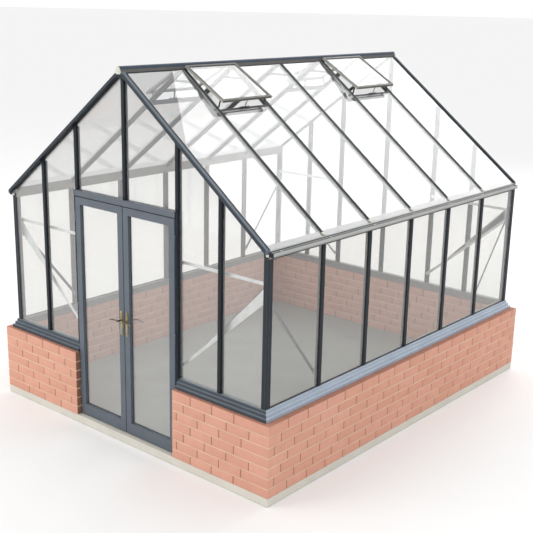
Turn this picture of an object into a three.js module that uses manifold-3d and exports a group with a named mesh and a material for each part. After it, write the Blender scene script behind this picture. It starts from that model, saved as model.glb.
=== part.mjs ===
// A glazed greenhouse on a low brick wall: concrete base, brick dwarf walls, dark aluminium
// glazing frame, a double door in the front gable and four roof vents hung from the ridge.
// Millimetres, +Z up. The front gable, with the doors, faces -Y. The origin is the centre of
// the concrete base's underside.
import * as THREE from "three";
import { mergeVertices } from "three/addons/utils/BufferGeometryUtils.js";
import Module from "manifold-3d";

const wasm = await Module();
wasm.setup();

// ---- driving dimensions -------------------------------------------------------------------
const BAY = 620; // one glazing module along the sides
const BAYS = 6; // modules in a side
const HALF_SPAN = 1536; // centre to the outer face of the side frames
const CORNER = 50; // square corner posts
const GABLE_OUT = 32; // gable face beyond the end of the last module
const WALL_H = 590; // brick walls above the base
const WALL_T = 110; // one brick thick
const SIDE_LEDGE = 97; // brick face beyond the side frame's face
const END_LEDGE = 75; // brick face beyond the gable's face
const BASE_T = 70; // concrete base
const SILL_H = 82; // stepped sill on the brickwork
const SILL_OUT = [42, 26, 12]; // reach of its three steps beyond the frame's face
const SILL_IN = 12; // its inner face behind the frame's face
const SILL_CHAMFER = 4;
const SILL_FLANGE = 12; // thickness of the flange that carries the posts
const POST_H = 1167; // sill top to eave
const PITCH = 37.3 * Math.PI / 180; // roof slope
const EAVE_H = 52; // eave beam's outer face, as wide as the corner posts
const BAR_W = 45; // width of the upright glazing bars
const GABLE_BAR_T = 16; // depth of the gables' upright bars
const SIDE_BAR_T = 24; // depth of the sides' upright bars
const REBATE = 14; // glass and cap in front of a bar
const GLASS_T = 4; // horticultural glass
const RAFTER_W = 27; // roof bars, across
const RAFTER_T = 28; // roof bars, square to the slope
const VERGE_W = { front: 52, back: 30 }; // gable rafters, along the ridge
const VERGE_T = 22; // gable rafters, square to the slope
const VERGE_RISE = 13; // their top above the glass bed
const VERGE_OUT = { front: 44, back: -2 }; // their outer side beyond the gable's face
const WEB_T = 14; // flange under the roof glass that carries the gable's bars
const RIDGE_HALF = 18; // ridge beam, centre to side
const RIDGE_RISE = 41; // ridge top above the point where the slopes would meet
const RIDGE_DROP = 22; // ridge underside below that point
const RIDGE_CHAMFER = 7; // its top edges
const COLLAR_DROP = 120; // collar underside below the same point
const COLLAR_T = 16; // collar height
const APEX_PLATE = 22; // plate between the ridge and the window over a collar
const CROWN_T = 25; // plate under the ridge where the gable rafters meet
const GUTTER_W = 34; // open channel along each eave
const GUTTER_H = 32;
const GUTTER_T = 4;
const GUTTER_DROP = 2; // its rim below the glass bed at the frame's face
const GUTTER_SHORT = 44; // its back end short of the gable's face
const LEAF_HALF = 598; // hinge edges of the doors, from the centre
const LEAF_H = 1979; // height of the doors
const BAR_PAST_LEAF = 6; // centre of the posts beside the doorway, beyond the hinge edges
const JAMB_PAST_LEAF = 9; // brick jambs beyond the hinge edges
const GABLE_BAR_SHARE = 0.489; // outer gable bars, from the doorway's posts to the side's face
const LEAF_T = 40; // door thickness
const LEAF_BACK = 6; // doors in front of the gable bars
const LEAF_GLASS_IN = 24; // door glass behind the door's outer face
const LEAF_CLEAR = 8; // gap between leaves, and above and below them
const LEAF_STILE = 61;
const LEAF_RAIL = 63; // top rail
const LEAF_KICK = 100; // bottom rail
const HEAD_H = 47; // door head
const HEAD_OUT = 34; // head in front of the gable's face
const HANDLE_H = 1020; // levers above the base
const PLATE_W = 30; // handle back plate
const PLATE_H = 210;
const PLATE_T = 6;
const PLATE_BELOW = 0.62; // share of the back plate below the lever
const LEVER_L = 105;
const LEVER_D = 14;
const LEVER_OUT = 46; // lever centre in front of the door's face
const SPINDLE_D = 12;
const SLEEVE_D = 18; // tube between the plates, round the spindle
const BEARING = 0.5; // spindle's radial clearance in the sleeve
const VENT_BAYS = [1, 4]; // bays with a roof vent, counted from the front and from 0
const VENT_L = 502; // vent sash down the slope
const VENT_T = 22;
const VENT_RAIL = 32;
const VENT_SIDE = 6; // sash's sides inside the roof bars' centres
const VENT_OPEN = 6.6 * Math.PI / 180;
const VENT_SEAT = 15.3; // sash underside above the glass bed at its hinge
const VENT_SILL_AT = 515; // fixed bar under the sash, down the slope from the apex
const VENT_SILL_W = 17; // its width down the slope
const VENT_SILL_TOP = 8; // its top above the glass bed
const VENT_SILL_H = 38;
const BRACE_W = 27; // flat bracing bars
const BRACE_T = 5;
const TIE_DROP = 209; // level bracing bars below the eave
const BRACE_DROP = 319; // upper end of the slanted bars below the eave
const BRACE_FOOT = 103; // their lower end above the sill
const BRACE_HOLD = 12; // how far a bracing bar reaches over the bar it is fixed to
const BRACKET = 14; // corner brackets that carry the bars
const EAVE_GLASS = 12; // roof glass beyond the side frame's face
const GAP = 0.3; // between pieces that touch
const LAP = 5; // how far pieces of one solid run into each other
const ROUND_SIDES = 24; // facets of a round bar
const SAME_POINT = 1e-4; // corners closer than this are one

// ---- places worked out from them -----------------------------------------------------------
const LENGTH = BAY * BAYS; // between the corner posts' centres
const GABLE_Y = LENGTH / 2 + GABLE_OUT; // outer face of the gables
const BRICK_X = HALF_SPAN + SIDE_LEDGE;
const BRICK_Y = GABLE_Y + END_LEDGE;
const WALL_TOP = BASE_T + WALL_H;
const SILL_TOP = WALL_TOP + SILL_H;
const EAVE_Z = SILL_TOP + POST_H;
const POST_IN_X = HALF_SPAN - CORNER;
const POST_IN_Y = GABLE_Y - CORNER;
const APEX = EAVE_Z + EAVE_H + HALF_SPAN * Math.tan(PITCH); // where the glass beds would meet
const BAR_FACE = HALF_SPAN - REBATE; // outer face of the side bars
const BAR_FACE_Y = GABLE_Y - REBATE; // outer face of the gable bars
const LEAF_Y = BAR_FACE_Y + LEAF_BACK + LEAF_T; // outer face of the doors
const LEAF_BOTTOM = BASE_T + LEAF_CLEAR;
const LEAF_TOP = LEAF_BOTTOM + LEAF_H;
const HEAD_BOTTOM = LEAF_TOP + LEAF_CLEAR;
const HEAD_TOP = HEAD_BOTTOM + HEAD_H;
const DOOR_BAR = LEAF_HALF + BAR_PAST_LEAF;
const GABLE_BAR = DOOR_BAR + GABLE_BAR_SHARE * (HALF_SPAN - DOOR_BAR);
const JAMB = LEAF_HALF + JAMB_PAST_LEAF;
const HANDLE_Z = BASE_T + HANDLE_H;
const TIE_Z = EAVE_Z - TIE_DROP;
const BRACE_HIGH = EAVE_Z - BRACE_DROP;
const BRACE_LOW = SILL_TOP + BRACE_FOOT;
const VERGE_UNDER = VERGE_RISE - VERGE_T; // gable rafters' underside from the glass bed
const CROWN = (RIDGE_DROP + CROWN_T + VERGE_UNDER / Math.cos(PITCH)) / Math.tan(PITCH); // its half width
const WEB_UNDER = -GAP - WEB_T; // their flange's underside
const ROOF_FRONT = GABLE_Y + VERGE_OUT.front - VERGE_W.front; // inner sides of the gable rafters
const ROOF_BACK = GABLE_Y + VERGE_OUT.back - VERGE_W.back;

const roofZ = (x, rise = 0) => APEX - Math.abs(x) * Math.tan(PITCH) + rise / Math.cos(PITCH);

// ---- materials ------------------------------------------------------------------------------
const finish = (color, roughness, metalness) =>
  new THREE.MeshStandardMaterial({ color, roughness, metalness });
const concrete = finish(0xcfcbc4, 0.9, 0);
const brick = finish(0xdc987f, 0.85, 0);
const darkFrame = finish(0x353c44, 0.45, 0.3);
const slateFrame = finish(0x66717d, 0.45, 0.3);
const sillFrame = finish(0x6d7b8a, 0.4, 0.3);
const bareMetal = finish(0xb9bcbe, 0.35, 0.8);
const brass = finish(0xb59c62, 0.35, 0.9);
const glass = new THREE.MeshStandardMaterial({
  color: 0xe8eef0, roughness: 0.05, metalness: 0, transparent: true, opacity: 0.35,
});

const greenhouse = new THREE.Group();

function add(name, geometry, material) {
  const mesh = new THREE.Mesh(geometry, material);
  mesh.name = name;
  greenhouse.add(mesh);
  return mesh;
}

// ---- shapes ---------------------------------------------------------------------------------
function box(x0, x1, y0, y1, z0, z1) {
  const geometry = new THREE.BoxGeometry(x1 - x0, y1 - y0, z1 - z0);
  return geometry.translate((x0 + x1) / 2, (y0 + y1) / 2, (z0 + z1) / 2);
}

function outline(points) {
  return new THREE.Shape(points.map(([u, v]) => new THREE.Vector2(u, v)));
}

// An outline of (x, z) points, made solid from y0 to y1.
function slabXZ(shape, y0, y1) {
  const geometry = new THREE.ExtrudeGeometry(shape, { depth: y1 - y0, bevelEnabled: false });
  return geometry.rotateX(Math.PI / 2).translate(0, y1, 0);
}

// An outline of (y, z) points, made solid from x0 to x1.
function slabYZ(shape, x0, x1) {
  const geometry = new THREE.ExtrudeGeometry(shape, { depth: x1 - x0, bevelEnabled: false });
  const turn = new THREE.Matrix4().makeBasis(
    new THREE.Vector3(0, 1, 0), new THREE.Vector3(0, 0, 1), new THREE.Vector3(1, 0, 0));
  return geometry.applyMatrix4(turn).translate(x0, 0, 0);
}

// The same piece on the other side: a mirror image about x = 0 or y = 0, faces still outward.
function mirrored(geometry, sx, sy) {
  const copy = geometry.clone().applyMatrix4(new THREE.Matrix4().makeScale(sx, sy, 1));
  if (sx * sy < 0) {
    const flat = copy.index ? copy.toNonIndexed() : copy;
    const p = flat.attributes.position;
    for (let i = 0; i < p.count; i += 3) {
      const a = new THREE.Vector3().fromBufferAttribute(p, i + 1);
      const b = new THREE.Vector3().fromBufferAttribute(p, i + 2);
      p.setXYZ(i + 1, b.x, b.y, b.z);
      p.setXYZ(i + 2, a.x, a.y, a.z);
    }
    flat.computeVertexNormals();
    return flat;
  }
  return copy;
}

function toSolid(geometry) {
  const bare = geometry.clone();
  bare.deleteAttribute("normal");
  bare.deleteAttribute("uv");
  const merged = mergeVertices(bare, SAME_POINT);
  return new wasm.Manifold(new wasm.Mesh({
    numProp: 3,
    vertProperties: new Float32Array(merged.attributes.position.array),
    triVerts: new Uint32Array(merged.index.array),
  }));
}

function fromSolid(solid) {
  const mesh = solid.getMesh();
  const geometry = new THREE.BufferGeometry();
  geometry.setAttribute("position", new THREE.BufferAttribute(mesh.vertProperties, mesh.numProp));
  geometry.setIndex(new THREE.BufferAttribute(mesh.triVerts, 1));
  return geometry;
}

function joined(geometries) {
  return fromSolid(geometries.map(toSolid).reduce((whole, piece) => whole.add(piece)));
}

// ---- masonry --------------------------------------------------------------------------------
function masonry() {
  add("concrete_base", box(-BRICK_X, BRICK_X, -BRICK_Y, BRICK_Y, 0, BASE_T), concrete);
  const z0 = BASE_T + GAP;
  const inX = BRICK_X - WALL_T;
  const inY = BRICK_Y - WALL_T;
  const side = box(inX, BRICK_X, -BRICK_Y, BRICK_Y, z0, WALL_TOP);
  add("brick_wall_right", side, brick);
  add("brick_wall_left", mirrored(side, -1, 1), brick);
  add("brick_wall_back", box(-inX + GAP, inX - GAP, inY, BRICK_Y, z0, WALL_TOP), brick);
  const front = box(JAMB, inX - GAP, -BRICK_Y, -inY, z0, WALL_TOP);
  add("brick_wall_front_right", front, brick);
  add("brick_wall_front_left", mirrored(front, -1, 1), brick);
}

// ---- stepped sill ---------------------------------------------------------------------------
// Offsets outward from the frame's outer face against heights above the brickwork.
function sillProfile() {
  const step = SILL_H / SILL_OUT.length;
  const steps = SILL_OUT.flatMap((reach, i) => [
    [reach, i === 0 ? GAP : i * step + SILL_CHAMFER],
    [reach, (i + 1) * step - (i === SILL_OUT.length - 1 ? SILL_CHAMFER : 0)],
  ]);
  return outline([
    [-SILL_IN, GAP], ...steps, [SILL_OUT.at(-1) - SILL_CHAMFER, SILL_H],
    [-CORNER + SILL_CHAMFER, SILL_H], [-CORNER + SILL_CHAMFER, SILL_H - SILL_FLANGE],
    [-SILL_IN, SILL_H - SILL_FLANGE],
  ]);
}

// A run of the profile along u, each end cut along the mitre when its flag is 1.
function sillRun(from, to, mitreFrom, mitreTo) {
  const along = { depth: to - from, bevelEnabled: false };
  const geometry = new THREE.ExtrudeGeometry(sillProfile(), along);
  const p = geometry.attributes.position;
  for (let i = 0; i < p.count; i += 1) {
    const offset = p.getX(i);
    const atEnd = p.getZ(i) > (to - from) / 2;
    p.setXYZ(i, offset, p.getY(i), atEnd ? to + mitreTo * offset : from - mitreFrom * offset);
  }
  return geometry;
}

function sills() {
  const alongY = new THREE.Matrix4().makeBasis(
    new THREE.Vector3(1, 0, 0), new THREE.Vector3(0, 0, 1), new THREE.Vector3(0, -1, 0));
  const alongX = new THREE.Matrix4().makeBasis(
    new THREE.Vector3(0, -1, 0), new THREE.Vector3(0, 0, 1), new THREE.Vector3(-1, 0, 0));
  const half = GABLE_Y - GAP;
  const right = sillRun(-half, half, 1, 1).applyMatrix4(alongY).translate(HALF_SPAN, 0, WALL_TOP);
  add("sill_right", right, sillFrame);
  add("sill_left", mirrored(right, -1, 1), sillFrame);
  const span = HALF_SPAN - GAP;
  const across = sillRun(-span, span, 1, 1).applyMatrix4(alongX).translate(0, -GABLE_Y, WALL_TOP);
  add("sill_back", mirrored(across, 1, -1), sillFrame);
  const left = sillRun(JAMB, span, 0, 1).applyMatrix4(alongX).translate(0, -GABLE_Y, WALL_TOP);
  add("sill_front_left", left, sillFrame);
  add("sill_front_right", mirrored(left, -1, 1), sillFrame);
}

// ---- upright frame --------------------------------------------------------------------------
function cornerPosts() {
  const post = box(POST_IN_X, HALF_SPAN, -GABLE_Y, -POST_IN_Y, SILL_TOP + GAP, EAVE_Z - GAP);
  for (const [name, sx, sy] of [
    ["front_right", 1, 1], ["front_left", -1, 1], ["back_right", 1, -1], ["back_left", -1, -1],
  ]) add(`corner_post_${name}`, mirrored(post, sx, sy), darkFrame);
}

// The eave beam with its posts. Its top steps down at both ends, where the gable rafters lie on it.
function sideFrames() {
  const beam = (rise, front, back) => slabXZ(outline([
    [POST_IN_X, EAVE_Z], [HALF_SPAN, EAVE_Z], [HALF_SPAN, roofZ(HALF_SPAN, rise) - GAP],
    [POST_IN_X, roofZ(POST_IN_X, rise) - GAP],
  ]), -front, back);
  const pieces = [beam(0, ROOF_FRONT - GAP, ROOF_BACK - GAP), beam(VERGE_UNDER, GABLE_Y, GABLE_Y)];
  for (let i = 1; i < BAYS; i += 1) {
    const y0 = i * BAY - LENGTH / 2 - BAR_W / 2;
    pieces.push(box(BAR_FACE - SIDE_BAR_T, BAR_FACE, y0, y0 + BAR_W, SILL_TOP + GAP, EAVE_Z + LAP));
  }
  const frame = joined(pieces);
  add("side_frame_right", frame, darkFrame);
  add("side_frame_left", mirrored(frame, -1, 1), darkFrame);
}

function gutters() {
  const x0 = HALF_SPAN + GAP;
  const x1 = x0 + GUTTER_W + 2 * GUTTER_T;
  const rim = roofZ(HALF_SPAN) - GUTTER_DROP;
  const low = rim - GUTTER_H;
  const innerRim = roofZ(x0 + GUTTER_T) - GUTTER_DROP; // clears the edge of the roof glass
  const channel = slabXZ(outline([
    [x0, low], [x1, low], [x1, rim], [x1 - GUTTER_T, rim],
    [x1 - GUTTER_T, low + GUTTER_T], [x0 + GUTTER_T, low + GUTTER_T],
    [x0 + GUTTER_T, innerRim], [x0, innerRim],
  ]), -GABLE_Y, GABLE_Y - GUTTER_SHORT);
  add("gutter_right", channel, sillFrame);
  add("gutter_left", mirrored(channel, -1, 1), sillFrame);
}

// ---- roof frame -----------------------------------------------------------------------------
function ridge() {
  const top = APEX + RIDGE_RISE;
  const shoulder = top - RIDGE_CHAMFER;
  const flat = RIDGE_HALF - RIDGE_CHAMFER;
  const low = APEX - RIDGE_DROP;
  add("ridge_beam", slabXZ(outline([
    [-RIDGE_HALF, low], [RIDGE_HALF, low], [RIDGE_HALF, shoulder], [flat, top],
    [-flat, top], [-RIDGE_HALF, shoulder],
  ]), -GABLE_Y - VERGE_OUT.front, GABLE_Y + VERGE_OUT.back), slateFrame);
}

// A pair of roof bars as one outline: down one slope, back up under it and over to the other.
// Their underside is flat within inner of the centre.
function rafterPair(top, depth, outX, inner) {
  const inX = RIDGE_HALF + GAP;
  const under = x => roofZ(x, top - depth);
  const low = APEX - RIDGE_DROP - GAP;
  const half = [
    [0, low], [inX, low], [inX, roofZ(inX, top)], [outX, roofZ(outX, top)], [outX, under(outX)],
  ];
  const other = half.slice(1).reverse().map(([x, z]) => [-x, z]);
  return outline([...half, [inner, under(inner)], [-inner, under(inner)], ...other]);
}

function trusses() {
  const collarTop = APEX - COLLAR_DROP + COLLAR_T;
  const collarLow = APEX - COLLAR_DROP;
  const reach = z => (APEX - RAFTER_T / Math.cos(PITCH) - z) / Math.tan(PITCH);
  const shape = rafterPair(-GAP, RAFTER_T, POST_IN_X - GAP, reach(collarLow));
  const windowTop = APEX - RIDGE_DROP - APEX_PLATE;
  shape.holes.push(new THREE.Path([
    [-reach(collarTop), collarTop], [reach(collarTop), collarTop],
    [reach(windowTop), windowTop], [-reach(windowTop), windowTop],
  ].map(([u, v]) => new THREE.Vector2(u, v))));
  for (let i = 1; i < BAYS; i += 1) {
    const y = i * BAY - LENGTH / 2;
    add(`roof_truss_${i}`, slabXZ(shape, y - RAFTER_W / 2, y + RAFTER_W / 2), darkFrame);
  }
}

// Drawn as the front gable; the back one is turned round. The bars stand on a flange that reaches in
// under the roof glass from the overhanging rafters.
function gableFrame(place) {
  const doorway = place === "front";
  const outer = -GABLE_Y - VERGE_OUT[place];
  const barIn = -BAR_FACE_Y + GABLE_BAR_T;
  const verge = rafterPair(VERGE_RISE, VERGE_T, HALF_SPAN, CROWN);
  const web = rafterPair(-GAP, WEB_T, POST_IN_X - GAP, CROWN);
  const pieces = [
    slabXZ(verge, outer, outer + VERGE_W[place]),
    slabXZ(web, -ROOF_FRONT - LAP, barIn),
  ];
  const middle = (WEB_UNDER - GAP) / 2;
  const barTop = x => roofZ(Math.max(Math.abs(x) + BAR_W / 2, CROWN), middle);
  const upright = (x0, x1, z0, z1) =>
    pieces.push(box(x0, x1, -BAR_FACE_Y, barIn, z0, z1));
  const bar = (x, z0) => upright(x - BAR_W / 2, x + BAR_W / 2, z0, barTop(x));
  for (const side of [-1, 1]) {
    bar(side * GABLE_BAR, SILL_TOP + GAP);
    bar(side * DOOR_BAR, SILL_TOP + GAP);
  }
  bar(0, doorway ? HEAD_TOP - LAP : SILL_TOP + GAP);
  if (doorway) {
    const inner = DOOR_BAR - BAR_W / 2;
    upright(-DOOR_BAR, DOOR_BAR, HEAD_TOP - BAR_W, HEAD_TOP);
    upright(-JAMB + GAP, -inner, BASE_T + GAP, SILL_TOP + LAP);
    upright(inner, JAMB - GAP, BASE_T + GAP, SILL_TOP + LAP);
  }
  return joined(pieces);
}

function gables() {
  add("gable_frame_front", gableFrame("front"), darkFrame);
  add("gable_frame_back", mirrored(gableFrame("back"), 1, -1), darkFrame);
  const half = DOOR_BAR - GAP;
  const headIn = -BAR_FACE_Y - GLASS_T - 2 * GAP;
  const head = box(-half, half, -GABLE_Y - HEAD_OUT, headIn, HEAD_BOTTOM, HEAD_TOP);
  add("door_head", head, slateFrame);
}

// ---- bracing in the corners -----------------------------------------------------------------
// Flat bar between two points of the (u, z) plane, as an outline with square ends.
function barOutline(u0, z0, u1, z1, width) {
  const a = new THREE.Vector2(u0, z0);
  const b = new THREE.Vector2(u1, z1);
  const side = b.clone().sub(a).setLength(width / 2).rotateAround(new THREE.Vector2(), Math.PI / 2);
  return new THREE.Shape([
    a.clone().sub(side), b.clone().sub(side), b.clone().add(side), a.clone().add(side),
  ]);
}

// The bars lie on the corner post's inner faces, with a packing piece where they cross a thinner bar.
function cornerBrace() {
  const x1 = POST_IN_X - GAP;
  const y0 = -POST_IN_Y + GAP;
  const barX = BAR_FACE - SIDE_BAR_T - GAP; // side bars' inner face
  const barY = -(BAR_FACE_Y - GABLE_BAR_T) + GAP; // gable bars' inner face
  const farX = DOOR_BAR + BAR_W / 2 - BRACE_HOLD;
  const farY = -LENGTH / 2 + BAY - BAR_W / 2 + BRACE_HOLD;
  const half = BRACE_W / 2;
  const across = (z0, z1) => slabXZ(barOutline(x1, z0, farX, z1, BRACE_W), y0, y0 + BRACE_T);
  const packX = z => box(farX, farX + BRACE_HOLD, barY, y0 + LAP, z - half, z + half);
  const foot = BRACE_LOW + half;
  return joined([
    across(TIE_Z, TIE_Z), packX(TIE_Z),
    across(BRACE_HIGH, BRACE_LOW), packX(foot),
    slabYZ(barOutline(y0, BRACE_HIGH, farY, BRACE_LOW, BRACE_W), x1 - BRACE_T, x1),
    box(x1 - LAP, barX, farY - BRACE_HOLD, farY, foot - half, foot + half),
    box(x1 - BRACKET, x1, y0, y0 + BRACE_T, BRACE_HIGH - half, TIE_Z + half),
    box(x1 - BRACE_T, x1, y0, y0 + BRACKET, BRACE_HIGH - half, TIE_Z + half),
  ]);
}

function braces() {
  const brace = cornerBrace();
  for (const [name, sx, sy] of [
    ["front_right", 1, 1], ["front_left", -1, 1], ["back_right", 1, -1], ["back_left", -1, -1],
  ]) add(`corner_brace_${name}`, mirrored(brace, sx, sy), bareMetal);
}

// ---- doors ----------------------------------------------------------------------------------
function doors() {
  const x0 = LEAF_CLEAR / 2;
  const x1 = LEAF_HALF;
  const yOut = -LEAF_Y;
  const shape = outline([[x0, LEAF_BOTTOM], [x1, LEAF_BOTTOM], [x1, LEAF_TOP], [x0, LEAF_TOP]]);
  const paneX = [x0 + LEAF_STILE, x1 - LEAF_STILE];
  const paneZ = [LEAF_BOTTOM + LEAF_KICK, LEAF_TOP - LEAF_RAIL];
  shape.holes.push(new THREE.Path([
    [paneX[0], paneZ[0]], [paneX[0], paneZ[1]], [paneX[1], paneZ[1]], [paneX[1], paneZ[0]],
  ].map(([u, v]) => new THREE.Vector2(u, v))));
  const leaf = slabXZ(shape, yOut, yOut + LEAF_T);
  const spindleX = x0 + LEAF_STILE / 2;
  const bore = rod(SLEEVE_D + 2 * GAP, spindleX, yOut - LEAF_T, yOut + 2 * LEAF_T);
  const bored = fromSolid(toSolid(leaf).subtract(toSolid(bore)));
  const paneY = yOut + LEAF_GLASS_IN;
  const pane = box(
    paneX[0] + GAP, paneX[1] - GAP, paneY, paneY + GLASS_T, paneZ[0] + GAP, paneZ[1] - GAP);
  for (const [side, sx] of [["right", 1], ["left", -1]]) {
    add(`door_leaf_${side}`, mirrored(bored, sx, 1), slateFrame);
    add(`door_glass_${side}`, mirrored(pane, sx, 1), glass);
    add(`door_plates_${side}`, mirrored(handlePlates(spindleX, yOut), sx, 1), brass);
    add(`door_lever_${side}`, mirrored(lever(spindleX, yOut), sx, 1), brass);
  }
}

// A round bar along Y at lever height.
function rod(diameter, x, y0, y1) {
  const geometry = new THREE.CylinderGeometry(diameter / 2, diameter / 2, y1 - y0, ROUND_SIDES);
  return geometry.translate(x, (y0 + y1) / 2, HANDLE_Z);
}

// Back plates on both faces of a door, held together by the sleeve that the spindle turns in.
function handlePlates(x, yOut) {
  const yIn = yOut + LEAF_T;
  const z0 = HANDLE_Z - PLATE_H * PLATE_BELOW;
  const plate = (y0, y1) => box(x - PLATE_W / 2, x + PLATE_W / 2, y0, y1, z0, z0 + PLATE_H);
  const solid = joined([
    plate(yOut - GAP - PLATE_T, yOut - GAP), plate(yIn + GAP, yIn + GAP + PLATE_T),
    rod(SLEEVE_D, x, yOut - GAP - PLATE_T / 2, yIn + GAP + PLATE_T / 2),
  ]);
  const bore = rod(SPINDLE_D + 2 * BEARING, x, yOut - LEAF_T, yIn + LEAF_T);
  return fromSolid(toSolid(solid).subtract(toSolid(bore)));
}

// The outer and the inner lever on their spindle. They point away from the doors' meeting line.
function lever(x, yOut) {
  const outY = yOut - LEVER_OUT;
  const inY = yOut + LEAF_T + LEVER_OUT;
  const half = LEVER_D / 2;
  const grip = y =>
    box(x - half, x + LEVER_L, y - half, y + half, HANDLE_Z - half, HANDLE_Z + half);
  return joined([rod(SPINDLE_D, x, outY, inY), grip(outY), grip(inY)]);
}

// ---- glass ----------------------------------------------------------------------------------
function wallGlass() {
  const z0 = SILL_TOP + GAP;
  const y = POST_IN_Y - GAP;
  const side = box(BAR_FACE + GAP, BAR_FACE + GAP + GLASS_T, -y, y, z0, EAVE_Z - GAP);
  add("glass_right", side, glass);
  add("glass_left", mirrored(side, -1, 1), glass);

  const yIn = -BAR_FACE_Y - GAP;
  const under = x => roofZ(x, WEB_UNDER) - GAP;
  const edge = POST_IN_X - GAP;
  const pane = points => slabXZ(outline(points), yIn - GLASS_T, yIn);
  const wing = pane([
    [DOOR_BAR + GAP, z0], [edge, z0], [edge, under(edge)], [DOOR_BAR + GAP, under(DOOR_BAR)],
  ]);
  add("glass_front_right", wing, glass);
  add("glass_front_left", mirrored(wing, -1, 1), glass);
  add("glass_front_top", pane([
    [-DOOR_BAR, HEAD_TOP + GAP], [DOOR_BAR, HEAD_TOP + GAP], [DOOR_BAR, under(DOOR_BAR)],
    [CROWN, under(CROWN)], [-CROWN, under(CROWN)], [-DOOR_BAR, under(DOOR_BAR)],
  ]), glass);
  const back = pane([
    [-edge, z0], [edge, z0], [edge, under(edge)], [CROWN, under(CROWN)],
    [-CROWN, under(CROWN)], [-edge, under(edge)],
  ]);
  add("glass_back", mirrored(back, 1, -1), glass);
}

// Everything on the right slope is drawn flat, x down the slope and z out of it, then turned.
function onSlope(geometry) {
  return geometry.rotateY(PITCH).translate(0, 0, APEX);
}

function roofGlass() {
  const x0 = (RIDGE_HALF + GAP) / Math.cos(PITCH);
  const x1 = (HALF_SPAN + EAVE_GLASS) / Math.cos(PITCH);
  const sheet = toSolid(box(x0, x1, -ROOF_FRONT + GAP, ROOF_BACK - GAP, GAP, GAP + GLASS_T));
  const cuts = VENT_BAYS.map((bay) => {
    const { y0, y1: end } = ventBay(bay);
    return toSolid(box(0, VENT_SILL_AT + VENT_SILL_W, y0, end, -GLASS_T, 2 * GLASS_T));
  });
  const cut = onSlope(fromSolid(cuts.reduce((rest, piece) => rest.subtract(piece), sheet)));
  add("roof_glass_right", cut, glass);
  add("roof_glass_left", mirrored(cut, -1, 1), glass);
}

// ---- roof vents -----------------------------------------------------------------------------
// The space between the roof bars on both sides of a bay.
function ventBay(bay) {
  const y = bay * BAY - LENGTH / 2;
  return { y0: y + RAFTER_W / 2, y1: y + BAY - RAFTER_W / 2 };
}

function vents() {
  VENT_BAYS.forEach((bay, i) => {
    const place = i === 0 ? "front" : "back";
    const { y0, y1 } = ventBay(bay);
    const sill = onSlope(box(
      VENT_SILL_AT, VENT_SILL_AT + VENT_SILL_W - GAP, y0 + GAP, y1 - GAP,
      VENT_SILL_TOP - VENT_SILL_H, VENT_SILL_TOP));
    add(`vent_sill_right_${place}`, sill, darkFrame);
    add(`vent_sill_left_${place}`, mirrored(sill, -1, 1), darkFrame);
    const reach = RAFTER_W / 2 - VENT_SIDE;
    const sash = ventSash(y0 - reach, y1 + reach);
    add(`roof_vent_right_${place}`, sash, slateFrame);
    add(`roof_vent_left_${place}`, mirrored(sash, -1, 1), slateFrame);
  });
}

// Its top edge lies against the ridge beam's side, on the hinge.
function ventSash(y0, y1) {
  const pane = VENT_RAIL / 2;
  const sash = joined([
    box(0, VENT_L, y0, y0 + VENT_RAIL, 0, VENT_T),
    box(0, VENT_L, y1 - VENT_RAIL, y1, 0, VENT_T),
    box(0, VENT_RAIL, y0, y1, 0, VENT_T),
    box(VENT_L - VENT_RAIL, VENT_L, y0, y1, 0, VENT_T),
    box(pane, VENT_L - pane, y0 + pane, y1 - pane, VENT_T / 2, VENT_T / 2 + GLASS_T),
  ]);
  const start = RIDGE_HALF + GAP - VENT_SEAT * Math.sin(PITCH);
  sash.rotateY(-VENT_OPEN);
  sash.translate(start / Math.cos(PITCH), 0, VENT_SEAT);
  return onSlope(sash);
}

masonry();
sills();
cornerPosts();
sideFrames();
gutters();
ridge();
trusses();
gables();
braces();
doors();
wallGlass();
roofGlass();
vents();

export default greenhouse;
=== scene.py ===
"""Looks of the greenhouse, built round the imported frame: brickwork, glazing caps and seals, roof vents,
hinges, handles and fixings, with a procedural material on every piece. Metres, in the frame of the
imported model: +Z is up and the front gable, with the doors, faces -Y."""

import math
import random

import bmesh
import bpy
from mathutils import Matrix, Vector


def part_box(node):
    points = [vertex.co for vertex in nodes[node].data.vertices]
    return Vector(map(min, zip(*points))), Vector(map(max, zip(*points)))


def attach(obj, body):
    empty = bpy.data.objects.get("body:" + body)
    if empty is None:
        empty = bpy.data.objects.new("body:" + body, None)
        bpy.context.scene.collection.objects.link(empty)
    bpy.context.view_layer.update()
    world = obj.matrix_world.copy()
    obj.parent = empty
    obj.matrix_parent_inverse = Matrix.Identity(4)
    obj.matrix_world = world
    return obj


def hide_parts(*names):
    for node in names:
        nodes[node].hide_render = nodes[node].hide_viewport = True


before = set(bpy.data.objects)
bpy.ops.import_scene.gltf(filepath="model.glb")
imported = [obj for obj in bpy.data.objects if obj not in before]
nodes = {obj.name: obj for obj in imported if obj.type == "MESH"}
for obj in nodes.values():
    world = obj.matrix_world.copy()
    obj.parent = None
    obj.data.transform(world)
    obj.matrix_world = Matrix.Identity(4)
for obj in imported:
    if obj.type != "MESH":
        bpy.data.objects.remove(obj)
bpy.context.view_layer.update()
random.seed(20)

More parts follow.
